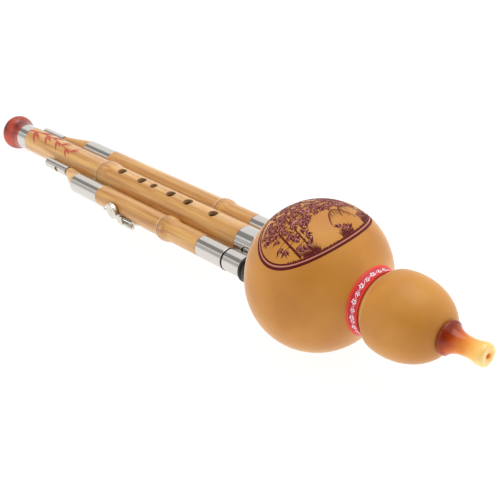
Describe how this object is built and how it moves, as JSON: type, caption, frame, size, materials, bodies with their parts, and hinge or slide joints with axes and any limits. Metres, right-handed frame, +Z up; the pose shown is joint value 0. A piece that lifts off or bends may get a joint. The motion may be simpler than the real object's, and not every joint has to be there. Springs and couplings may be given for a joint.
{
  "type": "hulusi",
  "caption": "Gourd flute: bottle gourd wind chest with a blown mouthpiece, a bamboo melody pipe with finger holes and bell, and bamboo drones with metal sockets and a key.",
  "frame": {"origin": "centre of the bounding box's bottom, on the surface that the big lobe and the bell's rim lie on", "axes": "+X along the instrument from the bell towards the mouthpiece, +Z up, with the finger holes on top; the pipes' axis rises by 5.13 degrees towards +X; the near drone with the key lies on -Y"},
  "size_m": [0.4244, 0.0804, 0.0805],
  "materials": {
    "gourd_skin": "satin, thin clear varnish",
    "ribbon": "woven satin",
    "amber_resin": "polished, translucent",
    "red_resin": "polished, translucent",
    "polished_steel": "polished",
    "key_nickel": "polished nickel plate",
    "bamboo": "sanded and lacquered",
    "dark_ring": "matte",
    "black_rubber": "matte",
    "reed_brass": "filed",
    "pad_leather": "matte"
  },
  "bodies": {
    "root": {"gourd_shell": "gourd_skin", "waist_ribbon": "ribbon", "mouthpiece": "amber_resin", "main_socket": "polished_steel", "main_reed_tube": "bamboo", "main_reed": "reed_brass", "near_drone_socket": "polished_steel", "near_drone_grommet": "black_rubber", "near_drone_reed_tube": "bamboo", "near_drone_reed": "reed_brass", "far_drone_socket": "polished_steel", "far_drone_grommet": "black_rubber", "far_drone_reed_tube": "bamboo", "far_drone_reed": "reed_brass"},
    "melody_pipe": {"main_pipe": "bamboo", "bell": "red_resin", "main_bell_ferrule": "polished_steel", "main_top_ferrule": "polished_steel", "main_tenon": "polished_steel", "main_joint_ring": "dark_ring"},
    "near_drone": {"near_drone_pipe": "bamboo", "near_drone_upper_ferrule": "polished_steel", "near_drone_lower_ferrule": "polished_steel", "near_drone_tenon": "polished_steel", "near_drone_joint_ring": "dark_ring", "near_drone_end_cone": "bamboo", "key_saddle": "key_nickel", "key_hinge_pin": "key_nickel", "key_saddle_screw_1": "key_nickel", "key_saddle_screw_2": "key_nickel"},
    "near_sleeve": {"near_drone_tip_sleeve": "polished_steel"},
    "drone_key": {"key_cup": "key_nickel", "key_pad": "pad_leather"},
    "far_drone": {"far_drone_pipe": "bamboo", "far_drone_upper_ferrule": "polished_steel", "far_drone_lower_ferrule": "polished_steel", "far_drone_tenon": "polished_steel", "far_drone_joint_ring": "dark_ring", "far_drone_end_cone": "bamboo"},
    "far_sleeve": {"far_drone_tip_sleeve": "polished_steel"}
  },
  "joints": [
    {"name": "melody_pipe_pull", "type": "slide", "parent": "root", "child": "melody_pipe", "axis": [-0.996, 0, -0.0894], "range_m": [0, 0.02]},
    {"name": "near_drone_pull", "type": "slide", "parent": "root", "child": "near_drone", "axis": [-0.996, 0, -0.0894], "range_m": [0, 0.01]},
    {"name": "far_drone_pull", "type": "slide", "parent": "root", "child": "far_drone", "axis": [-0.996, 0, -0.0894], "range_m": [0, 0.01]},
    {"name": "near_sleeve_turn", "type": "hinge", "parent": "near_drone", "child": "near_sleeve", "pos_m": [-0.13349, -0.0125, 0.01819], "axis": [0.996, 0, 0.0894], "continuous": true},
    {"name": "far_sleeve_turn", "type": "hinge", "parent": "far_drone", "child": "far_sleeve", "pos_m": [-0.17831, 0.0125, 0.01417], "axis": [0.996, 0, 0.0894], "continuous": true},
    {"name": "key_lift", "type": "hinge", "parent": "near_drone", "child": "drone_key", "pos_m": [-0.04123, -0.02399, 0.01939], "axis": [0.996, 0, 0.0894], "range_deg": [0, 75]}
  ]
}
